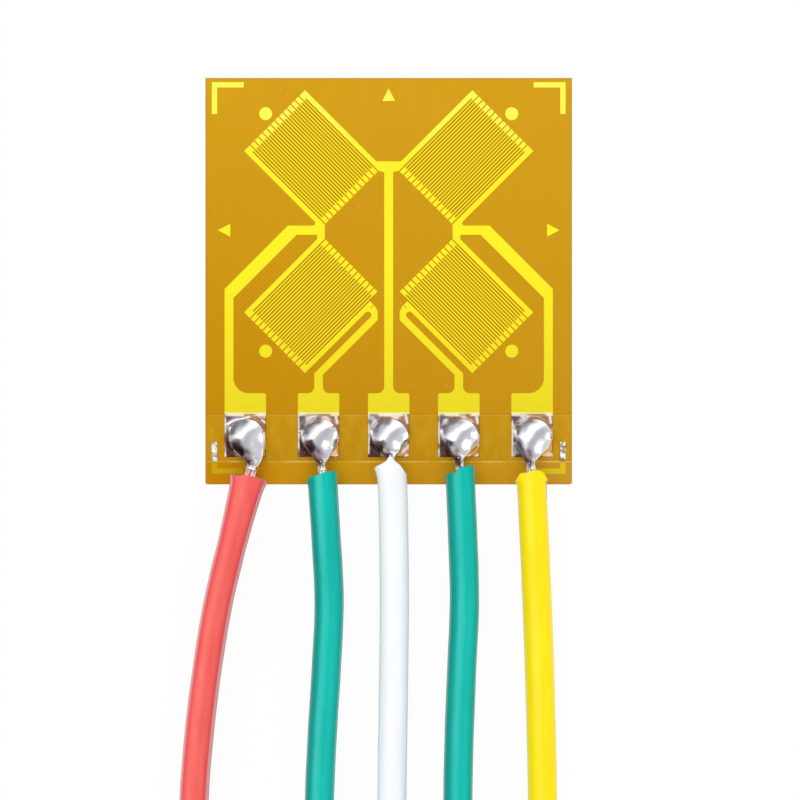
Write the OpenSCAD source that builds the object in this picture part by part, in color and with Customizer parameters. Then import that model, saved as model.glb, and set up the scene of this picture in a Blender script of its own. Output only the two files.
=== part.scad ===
// Full-bridge foil strain gauge with five soldered leads.
// It lies flat: X across the film, Y from the leads to the far end, Z up from the bonding face.
// The origin is the centre of the bonding face.

/* [Film] */
// Width of the polyimide film
film_w = 11.5; // [10.8:0.1:13]
// Length of the polyimide film
film_l = 12.75; // [12.7:0.05:14]
// Thickness of the backing
backing_t = 0.03; // [0.02:0.005:0.05]
// Thickness of the etched foil
foil_t = 0.005; // [0.004:0.001:0.01]
// Thickness of the cover above the foil
cover_t = 0.02; // [0.015:0.005:0.03]
// Corner radius at the lead end of the film
film_corner_r = 0.08; // [0.02:0.01:0.2]
// Length of the cover strip at the lead end
strip_l = 0.72; // [0.6:0.02:0.84]
// Length of the bare window between the cover and the strip
window_l = 1.49; // [1.4:0.01:1.7]

/* [Grids] */
// Active length of a grid
gauge_l = 3; // [2.6:0.05:3.1]
// Width of a grid strand
strand_w = 0.048; // [0.03:0.001:0.05]
// Width of the etched slot between strands
slot_w = 0.042; // [0.03:0.001:0.045]
// Strand pairs in a grid
strand_pairs = 13; // [8:1:13]
// Length of an end loop
loop_l = 0.21; // [0.12:0.01:0.25]
// Width of the bus along each side of a grid
bus_w = 0.16; // [0.1:0.01:0.18]
// Distance of the grids' inner corners from the centre line
grid_gap = 0.32; // [0.3:0.01:0.4]
// Distance of the upper grids' inner corners above the bars' centre line
upper_grid_rise = 0.18; // [0.16:0.01:0.2]
// Distance of the lower grids' inner corners below the bars' centre line
lower_grid_drop = 0.27; // [0.25:0.01:0.29]

/* [Traces] */
// Width of the centre trace
centre_trace_w = 0.28; // [0.2:0.01:0.32]
// Depth of the centre junction above the neck of the trace
centre_neck_l = 0.34; // [0.32:0.01:0.4]
// How far the top edge of the centre junction lies below the upper grids' centres
centre_junction_drop = 0.07; // [0.05:0.01:0.09]
// Height of the bars from the side junctions
bar_y = 1.6; // [1.58:0.01:1.62]
// Width of the bars
bar_w = 0.29; // [0.24:0.01:0.3]
// Width of a side junction
junction_w = 0.24; // [0.22:0.01:0.3]
// Distance of the outer knee from the side junction
knee_reach = 1.02; // [0.92:0.01:1.06]
// Rounding where a bar meets the buses
notch_r = 0.08; // [0.04:0.01:0.1]
// Width of the outer slanted traces
slant_trace_w = 0.4; // [0.3:0.01:0.42]
// Width of the outer straight traces
outer_trace_w = 0.28; // [0.2:0.01:0.32]
// Width of the straight traces of the inner pads
inner_trace_w = 0.27; // [0.2:0.01:0.32]

/* [Return hooks] */
// How far the lower bus ends short of the loops
hook_setback = 0.38; // [0.34:0.01:0.42]
// Gap between the lower bus and the return trace
hook_gap = 0.21; // [0.16:0.01:0.22]
// Width of the slanted return trace
return_w = 0.223; // [0.18:0.001:0.24]
// Foil left beyond the end of the gap
hook_wall = 0.25; // [0.2:0.01:0.26]
// Straight shoulder beside the end of the bus
hook_shoulder = 0.06; // [0.04:0.01:0.08]
// Slope of the nose
hook_nose = 0.054; // [0.03:0.001:0.07]
// Corner cut of the nose
hook_chamfer = 0.195; // [0.15:0.005:0.22]
// Length of the trimming slit
slit_l = 0.15; // [0.05:0.01:0.17]
// Width of the trimming slit
slit_w = 0.02; // [0.01:0.001:0.03]

/* [Pads] */
// Width of a solder pad
pad_w = 1.3; // [1.26:0.01:1.4]
// Length of a solder pad
pad_l = 2; // [1.8:0.01:2.1]
// Distance of the pads from the lead end of the film
pad_edge = 0.86; // [0.84:0.01:1]
// Distance of the inner pads from the centre line
inner_pad_x = 2.2; // [2.1:0.01:2.3]
// Distance of the outer pads from the centre line
outer_pad_x = 4.5; // [4.4:0.01:4.6]
// Corner radius of a pad
pad_corner_r = 0.06; // [0.03:0.01:0.1]
// Fillet between a trace and its pad
pad_fillet = 0.22; // [0.1:0.01:0.3]
// Fillet inside an outer trace and its pad
outer_pad_fillet = 0.49; // [0.3:0.01:0.6]

/* [Marks] */
// Diameter of the round marks
dot_d = 0.41; // [0.3:0.01:0.5]
// Inset of the round marks from the film's sides
dot_inset = 1.89; // [1.83:0.01:1.91]
// Inset of the upper round marks from the film's end
upper_dot_inset = 1.12; // [0.98:0.01:1.17]
// Inset of the lower round marks from the film's end
lower_dot_inset = 4.18; // [4.1:0.01:4.25]
// Length of an arrow mark
arrow_l = 0.39; // [0.3:0.01:0.42]
// Width of an arrow mark
arrow_w = 0.41; // [0.3:0.01:0.45]
// Inset of the side arrow tips from the film's sides
side_arrow_inset = 0.39; // [0.36:0.01:0.42]
// Inset of the top arrow's tip from the film's end
top_arrow_inset = 0.33; // [0.3:0.01:0.36]
// Length of a corner mark's arms
corner_arm_l = 1; // [0.9:0.01:1.05]
// Width of a corner mark's arms
corner_arm_w = 0.17; // [0.12:0.01:0.2]
// Inset of the corner marks from the film's sides
corner_inset = 0.2; // [0.15:0.01:0.21]
// Inset of the upper corner marks from the film's end
upper_corner_inset = 0.13; // [0.1:0.01:0.2]
// Inset of the lower corner marks from the film's end
lower_corner_inset = 0.33; // [0.3:0.01:0.4]

/* [Solder] */
// Thickness of the tinning on the bare pads
tin_t = 0.02; // [0.01:0.005:0.03]
// Radius of a solder bead on its pad
bead_r = 0.6; // [0.5:0.01:0.62]
// Height of a solder bead
bead_h = 0.44; // [0.35:0.01:0.5]
// Distance of a bead's centre from the foot of its pad
bead_y = 0.63; // [0.62:0.01:0.68]
// Sideways shift of the beads on their pads
bead_shift = 0.03; // [0:0.01:0.03]
// Radius of a bead's tail round the core
tail_r = 0.16; // [0.16:0.01:0.2]
// Radius of the solder flecks on the lower corner marks
fleck_r = 0.1; // [0.09:0.01:0.12]

/* [Leads] */
// Diameter of the insulation
lead_d = 0.92; // [0.85:0.01:0.94]
// Clearance between a lead and the film
lead_gap = 0.025; // [0.01:0.005:0.05]
// Diameter of a core strand
wire_d = 0.11; // [0.1:0.005:0.115]
// Distance of the outer core strands from the core's axis
wire_ring_r = 0.095; // [0.093:0.001:0.097]
// Length of the stripped lead ends
tip_l = 3; // [2:0.1:4]
// Bare core between each bead's tail and its insulation
core_l = [0.6, 0.52, 0.46, 0.45, 0.5];

/* [Hidden] */

$fn = 48;

// Overrun of cuts, and the lap of foil shapes that join
overrun = 0.02;
// How far a fillet's arc runs into the edges that it joins
fillet_bite = 0.002;
// Height of the leads' underside above the table where they lie on it
table_gap = 0.005;

// Slant of the grids and of the traces beside them
slant = 45;

// Levels
foil_z = backing_t;
foil_top = foil_z + foil_t;
film_top = foil_top + cover_t;

// Ends of the film, the window and the pads along Y
film_foot = -film_l / 2;
strip_top = film_foot + strip_l;
window_top = strip_top + window_l;
pad_foot = film_foot + pad_edge;
pad_top = pad_foot + pad_l;

// Grid sizes
pitch = strand_w + slot_w;
strands = 2 * round(strand_pairs);
grid_w = 2 * bus_w + strands * pitch + slot_w;
grid_half = gauge_l / 2 + loop_l;
bus_edge = grid_w / 2;
bus_inside = bus_edge - bus_w;
hook_end = grid_half - hook_setback;

// Places of the grids, from their inner corners
grid_reach = (grid_half + bus_inside) * sin(slant);
grid_x = grid_gap + grid_reach;
upper_grid = [-grid_x, bar_y + upper_grid_rise + grid_reach];
lower_grid = [-grid_x, bar_y - lower_grid_drop - grid_reach];
centre_junction_y = upper_grid.y - centre_junction_drop;

// Places of the marks
dot_x = film_w / 2 - dot_inset;
upper_dot_y = film_l / 2 - upper_dot_inset;
lower_dot_y = film_foot + lower_dot_inset;
side_arrow_x = film_w / 2 - side_arrow_inset;
top_arrow_y = film_l / 2 - top_arrow_inset;
corner_x = film_w / 2 - corner_inset;

// Leads from left to right: the pads that carry them
pad_places = [-outer_pad_x, -inner_pad_x, 0, inner_pad_x, outer_pad_x];
LEAD_COLOURS = ["#eb5a55", "#0fb4a0", "#f6f8f8", "#0fb4a0", "#ffeb0a"];

// Routes of the leads, seen from above, from the middle of the pad's line at the film's edge
routes = [
    [[0.15, 0.2], [-0.03, -0.5], [-0.28, -1.5], [-0.79, -3.6], [-1.15, -5.7],
     [-1.41, -7.8], [-1.57, -9.9], [-1.6, -12.5], [-1.55, -15.2], [-1.4, -17.9],
     [-1.2, -20.6], [-1, -23.3], [-0.85, -26], [-0.75, -28.7], [-0.7, -31.5]],
    [[0.14, 0.3], [0.18, -0.4], [0.25, -1.5], [0.35, -3.6], [0.26, -5.7],
     [0.13, -7.8], [0.04, -9.9], [0, -12.5], [0.02, -15.2], [0.08, -17.9],
     [0.12, -20.6], [0.1, -23.3], [0.02, -26], [-0.08, -28.7], [-0.2, -31.4]],
    [[0.09, 0.55], [0.13, -0.2], [0.16, -1.4], [0.18, -3.6], [0.16, -5.7],
     [0.13, -7.8], [0.1, -9.9], [0.06, -12.5], [0, -15.2], [-0.04, -17.9],
     [-0.04, -20.6], [0, -23.3], [0.08, -26], [0.16, -28.7], [0.2, -31.3]],
    [[0.02, 0.48], [0.05, -0.3], [0.1, -1.5], [0.16, -3.6], [0.08, -5.7],
     [0, -7.8], [-0.04, -9.9], [-0.02, -12.5], [0.05, -15.2], [0.12, -17.9],
     [0.15, -20.6], [0.12, -23.3], [0.05, -26], [0, -28.7], [0, -31.4]],
    [[-0.06, 0.35], [-0.03, -0.4], [0.02, -1.5], [0.12, -3.6], [0.2, -5.7],
     [0.26, -7.8], [0.3, -9.9], [0.3, -12.5], [0.24, -15.2], [0.15, -17.9],
     [0.05, -20.6], [-0.02, -23.3], [-0.06, -26], [-0.08, -28.7], [-0.08, -31.4]]
];
// Height of the leads at each point, as a share of the film and its clearance
lift_shares = [1, 2.6, 3, 1.8, 0.6, 0.1, 0, 0, 0, 0, 0, 0, 0, 0, 0];
lift = film_top + lead_gap;
// Sides of a lead
lead_sides = 8;

function unit(v) = v / norm(v);
function left_of(d) = [-d.y, d.x];
function turned(p, angle) = [p.x * cos(angle) - p.y * sin(angle), p.x * sin(angle) + p.y * cos(angle)];

// The point of a grid's line at b, across the strands, that has the given x
function line_at_x(centre, angle, b, x) =
    let (a = (x - centre.x + b * sin(angle)) / cos(angle))
    centre + turned([a, b], angle);

// The point of a grid's line at b, across the strands, that has the given y
function line_at_y(centre, angle, b, y) =
    let (a = (y - centre.y - b * cos(angle)) / sin(angle))
    centre + turned([a, b], angle);

// Where the edges of two trace segments meet beside their shared point
function edge_corner(p, d1, h1, d2, h2) =
    let (n1 = left_of(d1), n2 = left_of(d2))
    p + [h1 * n2.y - h2 * n1.y, h2 * n1.x - h1 * n2.x] / (n1.x * n2.y - n1.y * n2.x);

// One edge of a trace that follows a path, on the side given by 1 or -1
function trace_edge(path, widths, side) =
    let (last = len(path) - 1, dirs = [for (i = [0:last - 1]) unit(path[i + 1] - path[i])])
    [for (i = [0:last])
        i == 0 ? path[0] + left_of(dirs[0]) * side * widths[0] / 2
        : i == last ? path[last] + left_of(dirs[last - 1]) * side * widths[last - 1] / 2
        : edge_corner(path[i], dirs[i - 1], side * widths[i - 1] / 2, dirs[i], side * widths[i] / 2)];

function reversed(list) = [for (i = [len(list) - 1:-1:0]) list[i]];

// Start of a slot across the strands
function slot_at(k) = -bus_edge + bus_w + k * pitch;

// Outline of a grid, with its strands along X and its buses leaving towards +X.
// Slots alternate: the even ones are open at the +X end and the odd ones at the other.
function grid_outline(lower_bus_end) = concat(
    [[-grid_half, -bus_edge]],
    [for (k = [0:2:strands]) each [
        [k == 0 ? lower_bus_end : grid_half, slot_at(k)],
        [-grid_half + loop_l, slot_at(k)],
        [-grid_half + loop_l, slot_at(k) + slot_w],
        [grid_half, slot_at(k) + slot_w]]],
    [[grid_half, bus_edge], [-grid_half, bus_edge]],
    [for (k = [strands - 1:-2:1]) each [
        [-grid_half, slot_at(k) + slot_w],
        [grid_half - loop_l, slot_at(k) + slot_w],
        [grid_half - loop_l, slot_at(k)],
        [-grid_half, slot_at(k)]]]
);

// The first corner of the outline belongs to the lower bus, whose end may stand back
function grid_points(lower_bus_end) =
    let (points = grid_outline(lower_bus_end))
    concat([points[0], [lower_bus_end, -bus_edge]], [for (i = [1:len(points) - 1]) points[i]]);

module trace(path, widths) {
    polygon(concat(trace_edge(path, widths, -1), reversed(trace_edge(path, widths, 1))));
}

// Fills the inner corner at p, towards the quadrant given by sx and sy.
// Its arc runs a hair into both edges, so that it crosses them cleanly.
module fillet(p, sx, sy, r) {
    span = r + overrun;
    centre = r - fillet_bite;
    difference() {
        translate(p + [sx > 0 ? -overrun : -r, sy > 0 ? -overrun : -r])
            square(span);
        translate(p + [sx * centre, sy * centre])
            circle(r);
    }
}

// Rounds the sharp corner at p between foil edges that leave it at the angles a1 and a2
module notch(p, a1, a2) {
    half = (a2 - a1) / 2;
    out = [cos(a1 + half), sin(a1 + half)];
    edge1 = [cos(a1), sin(a1)];
    edge2 = [cos(a2), sin(a2)];
    reach = notch_r / tan(half);
    difference() {
        polygon([
            p - overrun * out,
            p + reach * edge1 - overrun * left_of(edge1),
            p + reach * edge2 + overrun * left_of(edge2)
        ]);
        translate(p + (notch_r - fillet_bite) / sin(half) * out)
            circle(notch_r);
    }
}

// A rectangle centred on X that starts at Y zero, with rounded corners at its far end
module rounded_end(w, l, r) {
    translate([-w / 2, 0])
        square([w, l - r]);
    translate([r - w / 2, 0])
        square([w - 2 * r, l]);
    for (side = [-1, 1])
        translate([side * (w / 2 - r), l - r])
            circle(r);
}

module upper_grid_shape() {
    translate(upper_grid)
        rotate(-slant)
            polygon(grid_points(grid_half));
}

module lower_grid_shape() {
    translate(lower_grid)
        rotate(slant)
            polygon(grid_points(hook_end));
}

// Points of the plane as the lower grid, which lies along X in its own frame, sees them
function in_lower_grid(points) = [for (p = points) turned(p - lower_grid, -slant)];

// The end of the lower bus folds back round a gap into the return trace, which runs to the inner pad
module hook_shape() {
    root = hook_end - hook_wall - hook_gap;
    gap_foot = -bus_edge - hook_gap;
    foot = gap_foot - return_w;
    top = -bus_edge + bus_w / 2;
    start = lower_grid + turned([root, gap_foot - return_w / 2], slant);
    knee = [-inner_pad_x, start.y - (start.x + inner_pad_x) * tan(slant)];
    path = [start, knee, [-inner_pad_x, pad_top - overrun]];
    widths = [return_w, inner_trace_w];
    inner_edge = in_lower_grid(trace_edge(path, widths, -1));
    outer_edge = in_lower_grid(trace_edge(path, widths, 1));
    translate(lower_grid)
        rotate(slant)
            difference() {
                polygon([
                    [root, top], [root, gap_foot], inner_edge[1], inner_edge[2],
                    outer_edge[2], outer_edge[1], [hook_end - hook_nose - hook_chamfer, foot],
                    [hook_end - hook_nose, foot + hook_chamfer],
                    [hook_end, -bus_edge - hook_shoulder], [hook_end, top]
                ]);
                translate([hook_end - hook_wall - hook_gap / 2, -bus_edge - hook_gap / 2])
                    circle(hook_gap / 2);
                translate([root - overrun, gap_foot])
                    square([hook_gap / 2 + overrun, hook_gap]);
                translate([hook_end - slit_l, -bus_edge - slit_w])
                    square([slit_l + overrun, slit_w]);
            }
}

// Joins the inner ends of the upper and lower buses at one side
module side_junction_shape() {
    upper_corner = upper_grid + turned([grid_half, -bus_inside], -slant);
    lower_corner = lower_grid + turned([grid_half, bus_inside], slant);
    outside_x = min(upper_corner.x, lower_corner.x) - junction_w;
    polygon([
        lower_corner, upper_corner,
        line_at_x(upper_grid, -slant, -bus_edge + bus_w / 2, outside_x),
        line_at_x(lower_grid, slant, bus_edge - bus_w / 2, outside_x)
    ]);
}

// From the side junction round the grid to the outer pad
module outer_trace_shape() {
    junction = upper_grid + turned([grid_half, -bus_inside], -slant);
    knee_x = junction.x - knee_reach;
    straight_x = -outer_pad_x - pad_w / 2 + outer_trace_w / 2;
    turn_y = bar_y + (straight_x - knee_x) * tan(slant);
    trace([[junction.x - overrun, bar_y], [knee_x, bar_y], [straight_x, turn_y],
           [straight_x, pad_top - overrun]],
          [bar_w, slant_trace_w, outer_trace_w]);
    fillet([straight_x + outer_trace_w / 2, pad_top], 1, 1, outer_pad_fillet);
    notch(line_at_y(upper_grid, -slant, -bus_edge, bar_y + bar_w / 2), 180 - slant, 180);
    notch(line_at_y(lower_grid, slant, bus_edge, bar_y - bar_w / 2), 180, 180 + slant);
}

module pad_shape() {
    translate([0, pad_foot])
        rounded_end(pad_w, pad_l, pad_corner_r);
}

// A pad whose trace leaves at its middle
module filleted_pad_shape(trace_w) {
    pad_shape();
    for (side = [-1, 1])
        fillet([side * trace_w / 2, pad_top], side, 1, pad_fillet);
}

module half_circuit_shape() {
    upper_grid_shape();
    lower_grid_shape();
    side_junction_shape();
    outer_trace_shape();
    hook_shape();
    translate([-outer_pad_x, 0])
        pad_shape();
    translate([-inner_pad_x, 0])
        filleted_pad_shape(inner_trace_w);
}

// Joins the upper buses over the centre trace
module centre_junction_shape() {
    shoulder = line_at_y(upper_grid, -slant, bus_edge, centre_junction_y);
    inside = upper_grid + turned([grid_half, bus_inside], -slant);
    neck_y = centre_junction_y - centre_neck_l;
    polygon([
        shoulder, inside, [-centre_trace_w / 2, neck_y], [centre_trace_w / 2, neck_y],
        [-inside.x, inside.y], [-shoulder.x, shoulder.y]
    ]);
}

module circuit_shape() {
    half_circuit_shape();
    mirror([1, 0])
        half_circuit_shape();
    centre_junction_shape();
    trace([[0, centre_junction_y - centre_neck_l + overrun], [0, pad_top - overrun]], [centre_trace_w]);
    filleted_pad_shape(centre_trace_w);
}

// Height of the outer corner of a corner mark, by end: 1 for the far end and -1 for the lead end
function corner_y(end) = end * (film_l / 2 - (end > 0 ? upper_corner_inset : lower_corner_inset));

module corner_shape(side, end) {
    x = side * corner_x;
    y = corner_y(end);
    translate([side > 0 ? x - corner_arm_l : x, end > 0 ? y - corner_arm_w : y])
        square([corner_arm_l, corner_arm_w]);
    translate([side > 0 ? x - corner_arm_w : x, end > 0 ? y - corner_arm_l : y])
        square([corner_arm_w, corner_arm_l]);
}

// An arrow mark with its tip at the origin, pointing along +Y
module arrow_shape() {
    polygon([[0, 0], [-arrow_w / 2, -arrow_l], [arrow_w / 2, -arrow_l]]);
}

module top_arrow_shape() {
    translate([0, top_arrow_y])
        arrow_shape();
}

module side_arrow_shape(side) {
    translate([side * side_arrow_x, bar_y])
        rotate(-side * 90)
            arrow_shape();
}

module dot_shape(side, y) {
    translate([side * dot_x, y])
        circle(dot_d / 2);
}

module marks_shape() {
    for (side = [-1, 1]) {
        for (end = [-1, 1])
            corner_shape(side, end);
        side_arrow_shape(side);
        dot_shape(side, upper_dot_y);
        dot_shape(side, lower_dot_y);
    }
    top_arrow_shape();
}

// The film's outline from its lead end up to the height y
module film_shape(y) {
    translate([0, y])
        mirror([0, 1])
            rounded_end(film_w, y - film_foot, film_corner_r);
}

module etched() {
    color("#faf02d")
        translate([0, 0, foil_z])
            linear_extrude(foil_t)
                children();
}

module backing_film() {
    color("#cd9b19")
        linear_extrude(backing_t)
            film_shape(film_l / 2);
}

module foil_circuit() {
    etched()
        circuit_shape();
}

// The pockets that the foil leaves in the cover's underside
module imprint() {
    translate([0, 0, foil_z - overrun])
        linear_extrude(foil_t + overrun) {
            circuit_shape();
            marks_shape();
        }
}

module cover_film() {
    color("#d9a323", 0.4)
        difference() {
            translate([-film_w / 2, window_top, foil_z])
                cube([film_w, film_l / 2 - window_top, film_top - foil_z]);
            imprint();
        }
}

module cover_strip() {
    color("#c88c0f", 0.4)
        difference() {
            translate([0, 0, foil_z])
                linear_extrude(film_top - foil_z)
                    film_shape(strip_top);
            imprint();
        }
}

module corner_mark(side, end) {
    etched()
        corner_shape(side, end);
}

module dot_mark(side, y) {
    etched()
        dot_shape(side, y);
}

// Tinning on the bare arm of a lower corner mark, with two small beads
module solder_fleck(side) {
    arm_x = side * (corner_x - corner_arm_w / 2);
    arm_top = corner_y(-1) + corner_arm_l;
    arm_foot = strip_top;
    color("#c9cacc") {
        translate([arm_x - corner_arm_w / 2, arm_foot, foil_top])
            cube([corner_arm_w, arm_top - arm_foot, tin_t]);
        intersection() {
            for (y = [arm_foot + fleck_r, arm_top - fleck_r])
                translate([arm_x, y, foil_top])
                    sphere(fleck_r);
            translate([arm_x - fleck_r, arm_foot, foil_top])
                cube([2 * fleck_r, arm_top - arm_foot, fleck_r]);
        }
    }
}

// Points of a lead's axis
function lead_point(i, k) = [
    pad_places[i] + routes[i][k].x,
    film_foot + routes[i][k].y,
    lead_d / 2 + table_gap + lift_shares[k] * lift
];
function lead_path(i) = [for (k = [0:len(routes[i]) - 1]) lead_point(i, k)];
function lead_start(i) = unit(lead_point(i, 1) - lead_point(i, 0));

// Ball whose cap is a bead, and the centre of that ball and of the bead's tail round the core
ball_r = (bead_r * bead_r + bead_h * bead_h) / (2 * bead_h);
function ball_centre(i) = [pad_places[i] + bead_shift, pad_foot + bead_y, foil_top + bead_h - ball_r];
function tail_centre(i) = lead_point(i, 0) - core_l[i] * lead_start(i);

// Puts its children, made along +Z from the origin, at p along the direction d
module along(p, d) {
    translate(p)
        rotate([0, acos(d.z / norm(d)), atan2(d.y, d.x)])
            children();
}

// Half the outline of a large and a small ball in one smooth skin, at the distance gap
function drop_profile(r1, r2, gap) =
    let (steps = 12, tangent = asin((r1 - r2) / gap))
    concat(
        [for (k = [0:steps]) let (t = -90 + k * (90 + tangent) / steps)
            [k == 0 ? 0 : r1 * cos(t), r1 * sin(t)]],
        [for (k = [0:steps]) let (t = tangent + k * (90 - tangent) / steps)
            [k == steps ? 0 : r2 * cos(t), gap + r2 * sin(t)]]
    );

// The drop of solder between the pad and the core, without its flat foot
module solder_drop(i) {
    reach = tail_centre(i) - ball_centre(i);
    along(ball_centre(i), reach)
        rotate_extrude()
            polygon(drop_profile(ball_r, tail_r, norm(reach)));
}

module solder_joint(i) {
    room = 2 * film_w;
    color("#d4d5d8") {
        translate([pad_places[i] - pad_w / 2, pad_foot, foil_top])
            cube([pad_w, window_top - pad_foot, tin_t]);
        difference() {
            solder_drop(i);
            translate([-room / 2, -room / 2, foil_top - room])
                cube(room);
            // The flat end that meets the bare core
            along(tail_centre(i), lead_start(i))
                cylinder(h = bead_r, r = bead_r);
        }
    }
}

// Seven tinned strands, from the origin along +Z
module strands_of_core(l) {
    linear_extrude(l) {
        circle(wire_d / 2);
        for (k = [0:5])
            rotate(60 * k)
                translate([wire_ring_r, 0])
                    circle(wire_d / 2);
    }
}

// The bare core between the bead and the insulation
module core(i) {
    color("#d8d2c8")
        along(tail_centre(i), lead_start(i))
            strands_of_core(core_l[i]);
}

// Corners of the ring round the point k of a path
function ring(path, k, r) =
    let (
        last = len(path) - 1,
        d = unit(path[min(k + 1, last)] - path[max(k - 1, 0)]),
        side = unit(cross(d, [0, 0, 1])),
        up = cross(side, d)
    )
    [for (s = [0:lead_sides - 1])
        let (t = 360 * s / lead_sides)
        path[k] + r * (cos(t) * side + sin(t) * up)];

// A tube swept along a path
module swept(path, r) {
    n = lead_sides;
    last = len(path) - 1;
    points = [for (k = [0:last]) each ring(path, k, r)];
    sides = [for (k = [0:last - 1], s = [0:n - 1]) each [
        [k * n + s, k * n + (s + 1) % n, (k + 1) * n + s],
        [k * n + (s + 1) % n, (k + 1) * n + (s + 1) % n, (k + 1) * n + s]]];
    near = [for (s = [n - 1:-1:0]) s];
    far = [for (s = [0:n - 1]) last * n + s];
    polyhedron(points, concat(sides, [near, far]));
}

module lead(i) {
    color(LEAD_COLOURS[i])
        swept(lead_path(i), lead_d / 2);
}

// The stripped and tinned far end of a lead
module tip(i) {
    path = lead_path(i);
    last = len(path) - 1;
    color("#c9c7c2")
        along(path[last], path[last] - path[last - 1])
            strands_of_core(tip_l);
}

backing_film();
foil_circuit();
cover_film();
cover_strip();
corner_mark(-1, 1);  // corner_mark_upper_left
corner_mark(1, 1);  // corner_mark_upper_right
corner_mark(-1, -1);  // corner_mark_lower_left
corner_mark(1, -1);  // corner_mark_lower_right
etched() top_arrow_shape();  // arrow_mark_top
etched() side_arrow_shape(-1);  // arrow_mark_left
etched() side_arrow_shape(1);  // arrow_mark_right
dot_mark(-1, upper_dot_y);  // dot_mark_upper_left
dot_mark(1, upper_dot_y);  // dot_mark_upper_right
dot_mark(-1, lower_dot_y);  // dot_mark_lower_left
dot_mark(1, lower_dot_y);  // dot_mark_lower_right
solder_fleck(-1);  // solder_fleck_left
solder_fleck(1);  // solder_fleck_right
solder_joint(0);  // solder_joint_red
solder_joint(1);  // solder_joint_green_left
solder_joint(2);  // solder_joint_white
solder_joint(3);  // solder_joint_green_right
solder_joint(4);  // solder_joint_yellow
core(0);  // core_red
core(1);  // core_green_left
core(2);  // core_white
core(3);  // core_green_right
core(4);  // core_yellow
lead(0);  // lead_red
lead(1);  // lead_green_left
lead(2);  // lead_white
lead(3);  // lead_green_right
lead(4);  // lead_yellow
tip(0);  // tip_red
tip(1);  // tip_green_left
tip(2);  // tip_white
tip(3);  // tip_green_right
tip(4);  // tip_yellow
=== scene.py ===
import bpy
import math
import random
from mathutils import Matrix, Vector, noise


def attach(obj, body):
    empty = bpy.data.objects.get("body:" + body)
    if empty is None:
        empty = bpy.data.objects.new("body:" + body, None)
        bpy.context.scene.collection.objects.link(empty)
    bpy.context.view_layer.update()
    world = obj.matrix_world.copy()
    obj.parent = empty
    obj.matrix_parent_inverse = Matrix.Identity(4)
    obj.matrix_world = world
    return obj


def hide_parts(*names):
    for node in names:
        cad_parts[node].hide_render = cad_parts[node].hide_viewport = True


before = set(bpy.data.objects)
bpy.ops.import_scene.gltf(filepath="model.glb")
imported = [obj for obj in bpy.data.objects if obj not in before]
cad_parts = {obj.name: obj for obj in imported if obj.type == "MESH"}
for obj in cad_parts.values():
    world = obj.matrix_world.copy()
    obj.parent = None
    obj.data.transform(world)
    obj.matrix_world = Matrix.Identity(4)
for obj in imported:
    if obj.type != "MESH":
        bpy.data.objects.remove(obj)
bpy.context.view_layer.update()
MM = 0.001

# ---------------------------------------------------------------- sizes, in mm
FILM_W, FILM_L = 11.5, 12.75
FILM_FOOT = -FILM_L / 2
BACKING_TOP, FOIL_TOP, FILM_TOP = 0.03, 0.035, 0.055
STRIP_TOP, WINDOW_TOP = -5.655, -4.165
GRID_X, UPPER_GRID_Y, LOWER_GRID_Y = 2.371, 3.831, -0.721
PAD_FOOT, PAD_W = -5.515, 1.3
PADS = [-4.5, -2.2, 0.0, 2.2, 4.5]
BEAD_SHIFT = 0.045
BEAD_Y = PAD_FOOT + 0.63
LEADS = ["red", "green_left", "white", "green_right", "yellow"]
LEAD_D, TABLE_GAP, LIFT = 0.92, 0.005, 0.08
CORE_L = [0.6, 0.52, 0.46, 0.45, 0.5]
ROUTES = [
    [(0.15, 0.2), (-0.03, -0.5), (-0.28, -1.5), (-0.79, -3.6), (-1.15, -5.7),
     (-1.41, -7.8), (-1.57, -9.9), (-1.6, -12.5), (-1.55, -15.2), (-1.4, -17.9),
     (-1.2, -20.6), (-1, -23.3), (-0.85, -26), (-0.75, -28.7), (-0.7, -31.5)],
    [(0.14, 0.3), (0.18, -0.4), (0.25, -1.5), (0.35, -3.6), (0.26, -5.7),
     (0.13, -7.8), (0.04, -9.9), (0, -12.5), (0.02, -15.2), (0.08, -17.9),
     (0.12, -20.6), (0.1, -23.3), (0.02, -26), (-0.08, -28.7), (-0.2, -31.4)],
    [(0.09, 0.55), (0.13, -0.2), (0.16, -1.4), (0.18, -3.6), (0.16, -5.7),
     (0.13, -7.8), (0.1, -9.9), (0.06, -12.5), (0, -15.2), (-0.04, -17.9),
     (-0.04, -20.6), (0, -23.3), (0.08, -26), (0.16, -28.7), (0.2, -31.3)],
    [(0.02, 0.48), (0.05, -0.3), (0.1, -1.5), (0.16, -3.6), (0.08, -5.7),
     (0, -7.8), (-0.04, -9.9), (-0.02, -12.5), (0.05, -15.2), (0.12, -17.9),
     (0.15, -20.6), (0.12, -23.3), (0.05, -26), (0, -28.7), (0, -31.4)],
    [(-0.06, 0.35), (-0.03, -0.4), (0.02, -1.5), (0.12, -3.6), (0.2, -5.7),
     (0.26, -7.8), (0.3, -9.9), (0.3, -12.5), (0.24, -15.2), (0.15, -17.9),
     (0.05, -20.6), (-0.02, -23.3), (-0.06, -26), (-0.08, -28.7), (-0.08, -31.4)],
]
LIFT_SHARES = [1, 2.6, 3, 1.8, 0.6, 0.1, 0, 0, 0, 0, 0, 0, 0, 0, 0]


def lead_points(i):
    return [Vector((PADS[i] + x, FILM_FOOT + y, LEAD_D / 2 + TABLE_GAP + share * LIFT))
            for (x, y), share in zip(ROUTES[i], LIFT_SHARES)]


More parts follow.
